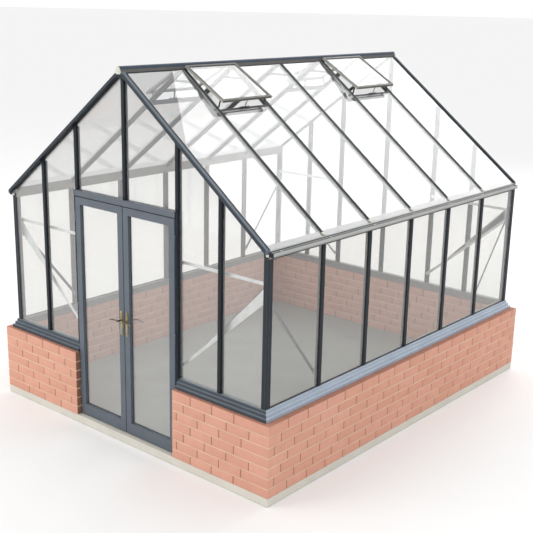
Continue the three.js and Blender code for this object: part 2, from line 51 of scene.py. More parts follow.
# ---- sizes read from the frame ---------------------------------------------------------------
TOUCH = 0.0003  # gap between pieces that touch
wall_low, wall_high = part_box("brick_wall_right")
post_low, post_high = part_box("corner_post_front_right")
WALL_X = wall_high.x
WALL_Y = wall_high.y
WALL_T = wall_high.x - wall_low.x
WALL_BOTTOM = wall_low.z
WALL_TOP = wall_high.z
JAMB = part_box("brick_wall_front_right")[0].x  # brick sides of the doorway, from the centre
SPAN = post_high.x  # centre to the outer face of the frame
GABLE = -post_low.y
SILL_TOP = post_low.z - TOUCH
EAVE = post_high.z + TOUCH
SIDE_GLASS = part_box("glass_right")[1].x  # outer faces of the glass
GABLE_GLASS = -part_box("glass_front_right")[0].y
BAR_YS = [sum(v.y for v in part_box(f"roof_truss_{i}")) / 2 for i in range(1, 6)]
BAY = BAR_YS[1] - BAR_YS[0]
HEAD_LOW, HEAD_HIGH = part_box("door_head")
LEAF_LOW, LEAF_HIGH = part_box("door_leaf_right")
DOOR_GLASS_LOW, DOOR_GLASS_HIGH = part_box("door_glass_right")
DOOR_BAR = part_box("glass_front_right")[0].x - TOUCH
ROOF_LOW, ROOF_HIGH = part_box("roof_glass_right")  # the roof glass stops at the verges
RIDGE_LOW, RIDGE_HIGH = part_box("ridge_beam")
GUTTER_LOW, GUTTER_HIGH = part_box("gutter_right")
RIDGE_X = RIDGE_HIGH.x
RIDGE_TOP = RIDGE_HIGH.z

# ---- sizes of the pieces made here -----------------------------------------------------------
PITCH = math.radians(37.3)  # roof slope, as in the frame
EAVE_H = 0.052  # eave beam's outer face
APEX = EAVE + EAVE_H + SPAN * math.tan(PITCH)  # where the two glass beds would meet
GLASS_N = 0.0043  # top of the roof glass above its bed
BAR_W = 0.045  # upright glazing bars
CAP_H = 0.009  # cap strips on the glass
GABLE_CAP_H = 0.020  # the gables' caps stand proud
GABLE_CAP_W = 0.034
ROOF_CAP_W = 0.030
ROOF_CAP_H = 0.0075
ROOF_CAP_END = 1.916  # eave end of the roof's cap strips, down the slope from the apex
GASKET = 0.0012  # half the width of the seals beside the cap strips
GASKET_H = 0.003
POST_RIBS = (0.010, 0.036)  # ribs on the corner posts, from the outer corner
RIB_W = 0.003
RIB_OUT = 0.0018
GABLE_BAR_SHARE = 0.489  # outer gable bars, from the doorway's posts to the side's face
GABLE_BAR = DOOR_BAR + GABLE_BAR_SHARE * (SPAN - DOOR_BAR)
VERGE_UNDER = -0.009  # gable rafters' underside from the glass bed
WEB_UNDER = -0.0143  # underside of the flange that carries the gable bars
CROWN_DROP = 0.047  # underside of the plate where the verges meet, below the apex
CROWN = (CROWN_DROP + VERGE_UNDER / math.cos(PITCH)) / math.tan(PITCH)  # half that plate's width
VERGE_TOP = 0.013
VENT_BAYS = {"front": 1, "back": 4}  # bays counted from the front, from 0
VENT_L = 0.502
VENT_RAIL = 0.026
VENT_SEAT = 0.0153
VENT_START = RIDGE_X + TOUCH - VENT_SEAT * math.sin(PITCH)
VENT_OPEN = math.radians(6.6)
VENT_SIDE = 0.006  # sash edge to the bar's centre line
VENT_SILL = 0.515
HINGE_X = 0.601
HINGE_Y = LEAF_LOW.y
HINGE_R = 0.0055
HINGE_ZS = (0.30, 1.07, 1.88)
HINGE_H = 0.075
HINGE_GAP = 0.0004  # half the gap between knuckles
HINGE_POST = (0.6040, 0.6060)  # the fixed leaf's two faces, from the centre
HINGE_FROM = 0.002  # where the leaves start behind the axis
HINGE_LEAF = 0.034  # where the moving leaf ends
HINGE_FIXED = 0.0445  # where the fixed leaf ends
SPINDLE_X = 0.0345
SPINDLE_Z = 1.09
BARREL_DROP = 0.072  # lock barrel below the spindle
LEVER_STEPS = 12
BRACE_T = 0.005  # flat bracing bars
BRACKETS = 7  # along each gutter
BRACKET_END = 0.10  # the first and last, from the gutter's ends

JOINT = 0.0085  # mortar joints
COURSE = 0.085
FIRST_BED = 0.075  # centre of the lowest bed joint above the wall's bottom
COURSES = 7
LEAST_END = 0.140  # end walls: no joint nearer to a corner than this
LEAST_SIDE = 0.060
LEAST_JAMB = 0.040
JOINT_LIE = 0.0035  # upright joints lie this far behind the brick faces


# ---- geometry --------------------------------------------------------------------------------
def axes(origin, x, y, z):
    """A place whose own axes are x, y and z."""
    m = Matrix.Identity(4)
    for column, vector in enumerate((x, y, z, origin)):
        for row in range(3):
            m[row][column] = vector[row]
    return m


def on_face(origin, out):
    """x along the model's X, y up, z along the model's Y or, where out is -1, against it."""
    return axes(origin, (1, 0, 0), (0, 0, 1), (0, out, 0))


def slope(side):
    """x down the roof, y along the ridge, z out of the glass bed; side is 1 right or -1 left."""
    c, s = math.cos(PITCH), math.sin(PITCH)
    return axes((0, 0, APEX), (side * c, 0, -s), (0, 1, 0), (side * s, 0, c))


def bed_z(x, rise=0.0):
    """Height of the glass bed at x, or of a plane that far above it."""
    return APEX - abs(x) * math.tan(PITCH) + rise / math.cos(PITCH)


def rect(x0, x1, y0, y1):
    return [(x0, y0), (x1, y0), (x1, y1), (x0, y1)]


UPRIGHT = Matrix.Identity(4)


class Shape:
    """Closed solids gathered into one mesh."""

    def __init__(self):
        self.verts, self.faces, self.slots = [], [], []

    def take(self, bm, slot=0):
        bmesh.ops.recalc_face_normals(bm, faces=bm.faces)
        start = len(self.verts)
        bm.verts.index_update()
        self.verts += [v.co.copy() for v in bm.verts]
        self.faces += [[start + v.index for v in f.verts] for f in bm.faces]
        self.slots += [slot] * len(bm.faces)
        bm.free()

    def rings(self, rings, place=UPRIGHT, slot=0, closed=False, bevel=0.0):
        """A skin over loops of points; open ends are filled."""
        bm = bmesh.new()
        loops = [[bm.verts.new(place @ Vector(p)) for p in ring] for ring in rings]
        pairs = list(zip(loops, loops[1:] + loops[:1])) if closed else list(zip(loops, loops[1:]))
        for a, b in pairs:
            for i in range(len(a)):
                j = (i + 1) % len(a)
                bm.faces.new((a[i], a[j], b[j], b[i]))
        if not closed:
            bm.faces.new(loops[0][::-1])
            bm.faces.new(loops[-1])
        if bevel:
            bmesh.ops.bevel(bm, geom=list(bm.edges), offset=bevel, segments=2, profile=0.5,
                            affect="EDGES", clamp_overlap=True)
        self.take(bm, slot)

    def prism(self, outline, z0, z1, place=UPRIGHT, bevel=0.001, slot=0):
        """An outline in the place's x and y, solid from z0 to z1."""
        self.rings([[(x, y, z) for x, y in outline] for z in (z0, z1)], place, slot, bevel=bevel)

    def box(self, x0, x1, y0, y1, z0, z1, bevel=0.001, slot=0, place=UPRIGHT):
        self.prism(rect(x0, x1, y0, y1), z0, z1, place, bevel, slot)

    def lathe(self, profile, place, sides=16, slot=0):
        """(radius, z) points turned round the place's z."""
        turn = [2 * math.pi * k / sides for k in range(sides)]
        self.rings([[(r * math.cos(t), r * math.sin(t), z) for t in turn] for r, z in profile], place, slot)

    def frame(self, x0, x1, y0, y1, profile, place=UPRIGHT, slot=0):
        """A mitred frame: the profile's (inset, z) points run round a rectangle."""
        corners = ((x0, y0, 1, 1), (x1, y0, -1, 1), (x1, y1, -1, -1), (x0, y1, 1, -1))
        self.rings([[(x + i * sx, y + i * sy, z) for i, z in profile] for x, y, sx, sy in corners],
                   place, slot, closed=True)

    def sweep(self, points, widths, sides=12, slot=0):
        """A rounded bar along points; widths gives (across, high) at each."""
        rings = []
        for k, (p, (across, high)) in enumerate(zip(points, widths)):
            here = Vector(points[min(k + 1, len(points) - 1)]) - Vector(points[max(k - 1, 0)])
            here.normalize()
            up = Vector((0, 0, 1))
            aside = here.cross(up).normalized()
            up = aside.cross(here)
            rings.append([Vector(p) + aside * math.cos(t) * across / 2 + up * math.sin(t) * high / 2
                          for t in (2 * math.pi * n / sides for n in range(sides))])
        self.rings(rings, slot=slot)


def piece(name, shape, materials, body="root", stands_for=()):
    """Makes a shape into an object that rides on a body."""
    mesh = bpy.data.meshes.new(name)
    mesh.from_pydata([tuple(v) for v in shape.verts], [], shape.faces)
    for m in materials:
        mesh.materials.append(m)
    mesh.polygons.foreach_set("material_index", shape.slots)
    mesh.polygons.foreach_set("use_smooth", [True] * len(mesh.polygons))
    mesh.set_sharp_from_angle(angle=math.radians(38))
    mesh.update()
    made = bpy.data.objects.new(name, mesh)
    bpy.context.scene.collection.objects.link(made)
    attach(made, body)
    if stands_for:
        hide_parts(*stands_for)
    return made


# ---- materials -------------------------------------------------------------------------------
class Look:
    """A node material under construction, on object coordinates in metres."""

    def __init__(self, name, **sockets):
        self.material = bpy.data.materials.new(name)
        self.material.use_nodes = True
        self.tree = self.material.node_tree
        self.bsdf = self.tree.nodes["Principled BSDF"]
        for socket, value in sockets.items():
            self.bsdf.inputs[socket.replace("_", " ")].default_value = value
        self.coords = self.node("ShaderNodeTexCoord").outputs["Object"]

    def node(self, kind, **settings):
        made = self.tree.nodes.new(kind)
        for key, value in settings.items():
            setattr(made, key, value)
        return made

    def link(self, a, b):
        self.tree.links.new(a, b)
        return b.node

    def noise(self, scale, detail=4.0, rough=0.55, stretch=(1, 1, 1)):
        mapping = self.node("ShaderNodeMapping")
        mapping.inputs["Scale"].default_value = stretch
        self.link(self.coords, mapping.inputs["Vector"])
        made = self.node("ShaderNodeTexNoise")
        made.inputs["Scale"].default_value = scale
        made.inputs["Detail"].default_value = detail
        made.inputs["Roughness"].default_value = rough
        self.link(mapping.outputs[0], made.inputs["Vector"])
        return made.outputs["Fac"]

    def remap(self, value, low, high, to_low=0.0, to_high=1.0):
        made = self.node("ShaderNodeMapRange")
        for socket, number in zip(("From Min", "From Max", "To Min", "To Max"), (low, high, to_low, to_high)):
            made.inputs[socket].default_value = number
        self.link(value, made.inputs["Value"])
        return made.outputs["Result"]

    def mix(self, share, a, b, blend="MIX"):
        """Colours a to b by share; each may be a socket or a plain value."""
        made = self.node("ShaderNodeMix", data_type="RGBA", blend_type=blend)
        for socket, value in ((made.inputs[0], share), (made.inputs[6], a), (made.inputs[7], b)):
            if isinstance(value, bpy.types.NodeSocket):
                self.link(value, socket)
            elif isinstance(value, (int, float)):
                socket.default_value = value
            else:
                socket.default_value = (*value, 1.0)
        return made.outputs[2]

    def math(self, operation, a, b=0.0):
        made = self.node("ShaderNodeMath", operation=operation)
        for socket, value in zip(made.inputs, (a, b)):
            if isinstance(value, bpy.types.NodeSocket):
                self.link(value, socket)
            else:
                socket.default_value = value
        return made.outputs[0]

    def place(self):
        """The object's x, y and z as three sockets."""
        split = self.node("ShaderNodeSeparateXYZ")
        self.link(self.coords, split.inputs[0])
        return split.outputs

    def normal(self):
        split = self.node("ShaderNodeSeparateXYZ")
        self.link(self.node("ShaderNodeNewGeometry").outputs["Normal"], split.inputs[0])
        return split.outputs

    def facing(self, axis):
        """1 on faces turned squarely to or away from an axis of the model, 0 on the others."""
        return self.remap(self.math("ABSOLUTE", self.normal()[axis]), 0.7, 0.9)

    def facing_up(self):
        """1 on level upward faces, 0 on walls."""
        return self.remap(self.normal()["Z"], 0.5, 1.0)

    def island(self):
        return self.node("ShaderNodeNewGeometry").outputs["Random Per Island"]

    def colour(self, socket):
        self.link(socket, self.bsdf.inputs["Base Color"])

    def roughness(self, value, low, high):
        self.link(self.remap(value, 0.3, 0.7, low, high), self.bsdf.inputs["Roughness"])

    def bump(self, height, distance, strength=1.0):
        made = self.node("ShaderNodeBump")
        made.inputs["Distance"].default_value = distance
        made.inputs["Strength"].default_value = strength
        self.link(height, made.inputs["Height"])
        self.link(made.outputs[0], self.bsdf.inputs["Normal"])


def scaled(colour, by):
    return tuple(min(1.0, c * by) for c in colour)


def brick_look():
    look = Look("brick")
    tone = look.mix(look.island(), (0.69, 0.365, 0.275), (0.635, 0.327, 0.24))
    blotch = look.remap(look.noise(14, 3), 0.35, 0.7)
    tone = look.mix(look.math("MULTIPLY", blotch, 0.35), tone, (0.58, 0.28, 0.195))
    speck = look.remap(look.noise(420, 5, 0.7), 0.56, 0.72)
    tone = look.mix(look.math("MULTIPLY", speck, 0.30), tone, (0.86, 0.52, 0.40))
    # Upward faces of the bricks are painted darker: painted shade, as under the sills.
    tone = look.mix(look.math("MULTIPLY", look.facing_up(), 0.8), tone, (0.38, 0.17, 0.12))
    # The doorway's brick end faces are painted dark brown: painted shade.
    x = look.math("ABSOLUTE", look.place()["X"])
    jamb_end_shade = look.math("MULTIPLY", look.math("LESS_THAN", x, JAMB + 0.002), look.facing("X"))
    tone = look.mix(look.math("MULTIPLY", jamb_end_shade, 0.85), tone, (0.16, 0.085, 0.055))
    look.colour(tone)
    look.roughness(look.noise(60, 3), 0.80, 0.95)
    look.bump(look.noise(260, 6, 0.7), 0.0012)
    look.bsdf.inputs["Specular IOR Level"].default_value = 0.25
    return look.material


def mortar_look(name, colour, dark):
    look = Look(name)
    sand = look.noise(520, 5, 0.7)
    tone = look.mix(look.remap(look.noise(9, 3), 0.3, 0.7), colour, dark)
    look.colour(look.mix(look.math("MULTIPLY", sand, 0.3), tone, scaled(dark, 0.8)))
    look.roughness(sand, 0.86, 0.98)
    look.bump(sand, 0.0010)
    look.bsdf.inputs["Specular IOR Level"].default_value = 0.2
    return look.material


def concrete_look():
    """Lighter at the outside edge; the floor within the walls is darker grey: painted shade under the glass.
    """
    look = Look("concrete")
    cloud = look.remap(look.noise(3.5, 6, 0.6), 0.3, 0.7)
    edge = look.mix(cloud, (0.68, 0.655, 0.585), (0.60, 0.58, 0.52))
    # Within the walls the floor colour is darker: painted shade.
    floor = look.mix(cloud, (0.37, 0.38, 0.36), (0.31, 0.32, 0.305))
    place = look.place()
    within_x = look.math("LESS_THAN", look.math("ABSOLUTE", place["X"]), WALL_X - WALL_T / 2)
    within_y = look.math("LESS_THAN", look.math("ABSOLUTE", place["Y"]), WALL_Y - WALL_T / 2)
    inside_walls_shade = look.math("MULTIPLY", within_x, within_y)
    tone = look.mix(inside_walls_shade, edge, floor)
    grit = look.remap(look.noise(300, 4, 0.65), 0.55, 0.75)
    tone = look.mix(look.math("MULTIPLY", grit, 0.22), tone, (0.42, 0.40, 0.36))
    look.colour(tone)
    look.roughness(look.noise(25, 4), 0.75, 0.95)
    look.bump(look.noise(120, 8, 0.7), 0.0016)
    look.bsdf.inputs["Specular IOR Level"].default_value = 0.3
    return look.material


def paint_look(name, colour, rough=(0.38, 0.50), specular=0.35, dust=0.12, zones=(), top=None):
    """Satin powder coat: fine orange peel, cloudy sheen and a little dust on upward faces. A top colour,
    where given, makes
    upward faces lighter: painted light from above, partly dust. Each zone is a colour and a function that
    gives the share of it from the look."""
    look = Look(name)
    cloud = look.remap(look.noise(5, 4), 0.3, 0.7)
    shade = look.remap(cloud, 0, 1, 0.92, 1.08)
    tone = look.mix(0.0, colour, colour)
    # Lighter upward faces: painted light, partly dust.
    if top:
        tone = look.mix(look.facing_up(), tone, top)
    for other, share in zones:
        tone = look.mix(share(look), tone, other)
    grey = look.node("ShaderNodeCombineColor")
    for channel in grey.inputs[:3]:
        look.link(shade, channel)
    tone = look.mix(1.0, tone, grey.outputs[0], "MULTIPLY")
    dusty = look.math("MULTIPLY", look.math("MULTIPLY", look.facing_up(), look.noise(40, 5, 0.7)), dust)
    look.colour(look.mix(dusty, tone, (0.45, 0.44, 0.42)))
    look.roughness(look.noise(18, 4), *rough)
    look.bump(look.noise(700, 2), 0.00015)
    look.bsdf.inputs["Specular IOR Level"].default_value = specular
    return look.material


def below_eave(look):
    return look.math("LESS_THAN", look.place()["Z"], EAVE + 0.0003)


def under_verge(look):
    """1 on what hangs below the underside of the gable rafters."""
    place = look.place()
    drop = look.math("MULTIPLY", look.math("ABSOLUTE", place["X"]), math.tan(PITCH))
    return look.math("LESS_THAN", look.math("ADD", place["Z"], drop), bed_z(0, VERGE_UNDER + 0.0003))


# Faces turned to the gables: darker on the verges as painted shade, paler on the sashes as painted light.
def end_face_light_and_shade(look):
    return look.facing("Y")


# The gutter's lowest part, which is painted darker as painted shade.
def low_in_gutter_shade(look):
    return look.math("LESS_THAN", look.place()["Z"], GUTTER_LOW.z + 0.010)


def indoors_shade(look):
    """1 on the sill's faces behind the frame's outer plane, which are given a painted shade colour."""
    place = look.place()
    x = look.math("LESS_THAN", look.math("ABSOLUTE", place["X"]), SPAN - 0.008)
    y = look.math("LESS_THAN", look.math("ABSOLUTE", place["Y"]), GABLE - 0.008)
    return look.math("MULTIPLY", x, y)


def ridge_side(look):
    return look.math("LESS_THAN", look.place()["Z"], RIDGE_TOP - 0.026)


def metal_look(name, colour, dull, rough, stretch, side_shade=None):
    """Bare metal with fine drawn lines along its length and duller clouds. The last colour, where given, goes
    on the faces turned to the sides of the house as painted shade."""
    look = Look(name, Metallic=1.0)
    lines = look.noise(60, 3, 0.6, stretch)
    cloud = look.remap(look.noise(11, 5, 0.65), 0.42, 0.68)
    tone = look.mix(cloud, look.mix(lines, scaled(colour, 0.9), colour), dull)
    if side_shade:
        tone = look.mix(look.facing("X"), tone, side_shade)
    look.colour(tone)
    look.roughness(lines, *rough)
    look.bump(lines, 0.00012)
    return look.material


def plastic_look(name, colour, rough=(0.5, 0.65)):
    look = Look(name)
    look.colour(look.mix(look.remap(look.noise(30, 4), 0.3, 0.7), scaled(colour, 0.9), colour))
    look.roughness(look.noise(90, 3), *rough)
    look.bump(look.noise(900, 3), 0.0001)
    return look.material


def glass_look(name, tint, haze):
    """Sheet with faint smears and a milky haze. Light for shading passes straight through it."""
    look = Look(name, IOR=1.48, Transmission_Weight=1.0 - haze)
    smear = look.remap(look.noise(7, 5, 0.6, (1, 1, 0.4)), 0.45, 0.75)
    look.colour(look.mix(smear, tint, scaled(tint, 0.985)))
    look.link(look.remap(smear, 0, 1, 0.0, 0.02), look.bsdf.inputs["Roughness"])
    clear = look.node("ShaderNodeBsdfTransparent")
    clear.inputs[0].default_value = (*scaled(tint, 0.97), 1.0)
    path = look.node("ShaderNodeLightPath")
    fac = look.math("MAXIMUM", path.outputs["Is Shadow Ray"], path.outputs["Is Diffuse Ray"])
    both = look.node("ShaderNodeMixShader")
    look.link(fac, both.inputs[0])
    look.link(look.bsdf.outputs[0], both.inputs[1])
    look.link(clear.outputs[0], both.inputs[2])
    look.link(both.outputs[0], look.tree.nodes["Material Output"].inputs["Surface"])
    return look.material


BRICK = brick_look()
MORTAR = mortar_look("mortar", (0.80, 0.57, 0.40), (0.70, 0.48, 0.33))
# Upright joints get a darker copy of the mortar: painted shade in the recessed joints.
MORTAR_PAINTED_SHADE = mortar_look("mortar_shaded", (0.36, 0.24, 0.13), (0.27, 0.17, 0.09))
CONCRETE = concrete_look()
BLACK, LIGHT, SHADED = (0.016, 0.021, 0.027), (0.42, 0.43, 0.42), (0.22, 0.225, 0.22)
DARK = paint_look("anthracite_paint", BLACK, specular=0.18, dust=0.05)
POST = paint_look("anthracite_post", (0.026, 0.033, 0.042), specular=0.22, dust=0.05)
# Ribs painted lighter than the posts: a painted highlight along the ribs.
RIB_PAINTED_HIGHLIGHT = paint_look("post_rib_painted_highlight", (0.050, 0.060, 0.072), specular=0.2, dust=0.03)
SLATE = paint_look("slate_paint", (0.100, 0.120, 0.146), dust=0.06)
# Upward faces lighter: painted light, partly dust; faces behind the frame's outer plane darker: painted
# shade.
SILL = paint_look("sill_paint", (0.050, 0.064, 0.082), dust=0.05, top=(0.16, 0.19, 0.22),
                  zones=[(SHADED, indoors_shade)])
# A lighter, bluer copy of the sill paint for the side sills: painted sky reflection; upward faces lighter
# still, painted light partly dust.
SILL_PAINTED_SKY = paint_look("silver_blue_paint", (0.36, 0.43, 0.52), dust=0.05, top=(0.50, 0.56, 0.64),
                    zones=[(SHADED, indoors_shade)])
RIDGE = paint_look("ridge_paint", (0.058, 0.078, 0.108), specular=0.2, dust=0.03,
                   zones=[((0.135, 0.128, 0.125), ridge_side)])
# Faces turned to the gables darker: painted shade.
VERGE = paint_look("verge_paint", (0.125, 0.155, 0.190), specular=0.2, dust=0.03,
                   zones=[((0.035, 0.045, 0.058), end_face_light_and_shade), (BLACK, under_verge)])
INNER = paint_look("truss_paint", (0.050, 0.052, 0.054))
EAVES = paint_look("eaves_paint", (0.27, 0.265, 0.25), dust=0.05, zones=[(BLACK, below_eave)])
# Lowest part of the gutter darker: painted shade.
GUTTER = paint_look("gutter_paint", LIGHT, dust=0.05, zones=[((0.25, 0.245, 0.235), low_in_gutter_shade)])
LIGHT_GREY = paint_look("pale_grey_paint", LIGHT, dust=0.05)
# Faces turned to the gables paler: painted light.
VENT = paint_look("vent_paint", (0.125, 0.121, 0.110), dust=0.03,
                  zones=[((0.42, 0.42, 0.39), end_face_light_and_shade)])
# Faces turned to the sides of the house darker: painted shade.
MILL = metal_look("mill_metal", (0.83, 0.85, 0.86), (0.66, 0.67, 0.67), (0.40, 0.55), (1, 1, 0.05),
                  (0.16, 0.17, 0.19))
BRASS = metal_look("brass", (0.52, 0.43, 0.24), (0.20, 0.15, 0.08), (0.30, 0.48), (1, 1, 0.08))
BRONZE = metal_look("lever_metal", (0.20, 0.16, 0.12), (0.10, 0.08, 0.06), (0.32, 0.48), (0.08, 1, 1))
STEEL = metal_look("fixing_steel", (0.50, 0.51, 0.52), (0.30, 0.30, 0.30), (0.30, 0.45), (1, 1, 1))
RUBBER = plastic_look("rubber", (0.012, 0.012, 0.013), (0.65, 0.8))
CREAM = plastic_look("cream_plastic", (0.60, 0.60, 0.52))
GLASS = glass_look("clear_glass", (0.915, 0.918, 0.912), 0.105)
SIDE_PANE = glass_look("side_glass", (0.890, 0.888, 0.872), 0.055)
ROOF_GLASS = glass_look("roof_glass", (0.865, 0.870, 0.872), 0.055)


# ---- the frame's own pieces ------------------------------------------------------------------
def dress(name, material, edge=0.0015):
    """Gives a node of the frame its material and soft edges."""
    node = nodes[name]
    node.data.materials.clear()
    node.data.materials.append(material)
    if edge:
        node.modifiers.new("weld", "WELD").merge_threshold = 1e-5
        flat = node.modifiers.new("flat", "DECIMATE")
        flat.decimate_type = "DISSOLVE"
        flat.angle_limit = math.radians(0.5)
        bevel = node.modifiers.new("edge", "BEVEL")
        bevel.width = edge
        bevel.segments = 2
        bevel.limit_method = "ANGLE"
        bevel.angle_limit = math.radians(30)
        node.modifiers.new("shade", "WEIGHTED_NORMAL").keep_sharp = True


def dress_frame():
    dress("concrete_base", CONCRETE, 0.006)
    for name in nodes:
        if name.startswith("sill_"):
            # The side sills take the lighter copy of the sill paint, a painted sky reflection.
            dress(name, SILL_PAINTED_SKY if name in ("sill_left", "sill_right") else SILL, 0.001)
        elif name.startswith("corner_post"):
            dress(name, POST, 0.003)
        elif name.startswith("side_frame"):
            dress(name, EAVES)
        elif name.startswith("gutter"):
            dress(name, GUTTER, 0.001)
        elif name.startswith("gable_frame"):
            dress(name, VERGE)
        elif name.startswith("roof_truss"):
            dress(name, INNER)
        elif name.startswith("corner_brace"):
            dress(name, MILL, 0.0008)
        elif name.startswith(("door_leaf", "door_head")):
            dress(name, SLATE, 0.002)
        elif name.startswith("vent_sill"):
            dress(name, POST)
        elif name.startswith("roof_glass"):
            dress(name, ROOF_GLASS, 0)
        elif name in ("glass_left", "glass_right"):
            dress(name, SIDE_PANE, 0)
        elif name.startswith(("glass_", "door_glass")):
            dress(name, GLASS, 0)
    dress("ridge_beam", RIDGE)


# ---- brickwork -------------------------------------------------------------------------------
def course_levels():
    """(bottom, top) of the bricks in each course, from the top course down."""
    beds = [WALL_BOTTOM + FIRST_BED + k * COURSE for k in range(COURSES - 1)]
    bottoms = [WALL_BOTTOM + TOUCH] + [b + JOINT / 2 for b in beds]
    tops = [b - JOINT / 2 for b in beds] + [WALL_TOP]
    return list(zip(bottoms, tops))[::-1]


def joints(first, pitch, shift, low, high, least_low, least_high):
    """Centres of a course's upright joints that lie between low and high."""
    start = first + shift
    start -= pitch * math.ceil((start - low) / pitch)
    found = [start + pitch * k for k in range(int((high - low) / pitch) + 3)]
    return [x for x in found if low + least_low < x < high - least_high]


def laid(shape, outline, z0, z1):
    """One brick, a hair out of line with its neighbours."""
    centre = Vector((sum(p[0] for p in outline), sum(p[1] for p in outline), 0)) / len(outline)
    nudge = Vector([random.uniform(-0.0006, 0.0006) for _ in range(3)])
    turn = Matrix.Rotation(random.uniform(-0.0012, 0.0012), 4, "Z")
    place = Matrix.Translation(centre + nudge) @ turn @ Matrix.Translation(-centre)
    shape.prism(outline, z0, z1, place, bevel=random.uniform(0.0018, 0.0030))


# First joint on the top course, brick length with its joint, and how far each lower course moves.
RUNS = {
    "front_right": (0.813, 0.2340, -1 / 3),
    "front_left": (-0.844, 0.2375, 1 / 3),
    "back": (0.813, 0.2340, -1 / 3),
    "right": (-1.738, 0.2410, -1 / 3),
    "left": (-1.738, 0.2410, -1 / 3),
}


def run_joints(run, course):
    first, pitch, step = RUNS[run]
    shift = pitch * step * (course % 3)
    if run in ("left", "right"):
        return joints(first, pitch, shift, -WALL_Y, WALL_Y, LEAST_SIDE, LEAST_SIDE)
    if run == "back":
        return joints(first, pitch, shift, -WALL_X, WALL_X, LEAST_END, LEAST_END)
    if run == "front_right":
        return joints(first, pitch, shift, JAMB, WALL_X, LEAST_JAMB, LEAST_END)
    return joints(first, pitch, shift, -WALL_X, -JAMB, LEAST_END, LEAST_JAMB)


def corner_brick(shape, sx, sy, arm_x, arm_y, z0, z1):
    """A brick that turns a corner, with its arms' ends at those places."""
    inner_x, inner_y = sx * (WALL_X - WALL_T), sy * (WALL_Y - WALL_T)
    laid(shape, [
        (arm_x, sy * WALL_Y), (sx * WALL_X, sy * WALL_Y), (sx * WALL_X, arm_y),
        (inner_x, arm_y), (inner_x, inner_y), (arm_x, inner_y),
    ], z0, z1)


def brickwork():
    walls = {run: Shape() for run in RUNS}
    beds = {run: Shape() for run in RUNS}
    half = JOINT / 2
    for course, (z0, z1) in enumerate(course_levels()):
        ends = {"left": [], "right": []}
        for run in ("front_right", "front_left", "back"):
            sy = 1 if run == "back" else -1
            y0, y1 = sorted((sy * WALL_Y, sy * (WALL_Y - WALL_T)))
            cuts = run_joints(run, course)
            stops = cuts[:]
            if run == "front_right":
                stops = [JAMB - half] + stops
            if run == "front_left":
                stops = stops + [-JAMB + half]
            for a, b in zip(stops, stops[1:]):
                laid(walls[run], rect(a + half, b - half, y0, y1), z0, z1)
            # Upright joints take the second slot, the darker mortar of painted shade.
            for x in cuts:
                beds[run].box(x - half, x + half, y0 + JOINT_LIE, y1 - JOINT_LIE,
                              z0 - half, z1 - 0.002, 0, 1)
            if run != "front_left":
                ends["right"].append((sy, cuts[-1] + half))
            if run != "front_right":
                ends["left"].append((sy, cuts[0] - half))
        for run, sx in (("right", 1), ("left", -1)):
            x0, x1 = sorted((sx * WALL_X, sx * (WALL_X - WALL_T)))
            cuts = run_joints(run, course)
            for a, b in zip(cuts, cuts[1:]):
                laid(walls[run], rect(x0, x1, a + half, b - half), z0, z1)
            # Upright joints take the second slot, the darker mortar of painted shade.
            for y in cuts:
                beds[run].box(x0 + JOINT_LIE, x1 - JOINT_LIE, y - half, y + half,
                              z0 - half, z1 - 0.002, 0, 1)
            for sy, arm_x in ends[run]:
                arm_y = cuts[0] - half if sy < 0 else cuts[-1] + half
                corner_brick(walls[run], sx, sy, arm_x, arm_y, z0, z1)
    for k in range(COURSES - 1):
        z = WALL_BOTTOM + FIRST_BED + k * COURSE
        lie = 0.0015  # bed joints lie this far behind the brick faces
        inner_x, inner_y = WALL_X - WALL_T + lie, WALL_Y - WALL_T + lie
        out_x, out_y = WALL_X - lie, WALL_Y - lie
        for run, box in {
            "right": (inner_x, out_x, -out_y, out_y), "left": (-out_x, -inner_x, -out_y, out_y),
            "back": (-inner_x, inner_x, inner_y, out_y),
            "front_right": (JAMB + lie, inner_x, -out_y, -inner_y),
            "front_left": (-inner_x, -JAMB - lie, -out_y, -inner_y),
        }.items():
            beds[run].box(*box, z - half - 0.002, z + half + 0.002, 0.001, 0)
    for run in RUNS:
        piece(f"bricks_{run}", walls[run], [BRICK], stands_for=[f"brick_wall_{run}"])
        piece(f"mortar_{run}", beds[run], [MORTAR, MORTAR_PAINTED_SHADE])


# ---- glazing caps and seals ------------------------------------------------------------------
def cap_outline(width, height):
    w = width / 2
    return [(-w, 0), (w, 0), (w, 0.5 * height), (w - 0.35 * height, height),
            (-w + 0.35 * height, height), (-w, 0.5 * height)]


def side_caps():
    for side, name in ((1, "right"), (-1, "left")):
        caps = Shape()
        for y in BAR_YS:
            place = axes((side * (SIDE_GLASS + TOUCH), y, 0), (0, 1, 0), (side, 0, 0), (0, 0, 1))
            caps.prism(cap_outline(BAR_W, CAP_H), SILL_TOP + 0.001, EAVE - 0.001, place, 0.001)
            for edge in (-1, 1):
                at = edge * (BAR_W / 2 + GASKET)
                seal = rect(at - GASKET, at + GASKET, 0, GASKET_H)
                caps.prism(seal, SILL_TOP + 0.001, EAVE - 0.002, place, 0, 1)
        ends = GABLE - 0.05
        for z0, z1 in ((SILL_TOP, SILL_TOP + 0.009), (EAVE - 0.009, EAVE - 0.001)):
            x0, x1 = sorted((side * (SIDE_GLASS + TOUCH), side * (SIDE_GLASS + 0.005)))
            caps.box(x0, x1, -ends, ends, z0 + 0.0005, z1, 0.001, 1)
        piece(f"side_caps_{name}", caps, [DARK, RUBBER])


def gable_cap(caps, sy, x0, x1, z0):
    def top(x):
        return bed_z(max(abs(x), CROWN), WEB_UNDER) - 0.001
    place = on_face((0, sy * (GABLE_GLASS + TOUCH), 0), sy)
    caps.prism([(x0, z0), (x1, z0), (x1, top(x1)), (x0, top(x0))], 0, GABLE_CAP_H, place, 0.002)
    for x in (x0 - GASKET, x1 + GASKET):
        caps.prism(rect(x - GASKET, x + GASKET, z0, top(x) - 0.002), 0, GASKET_H, place, 0, 1)


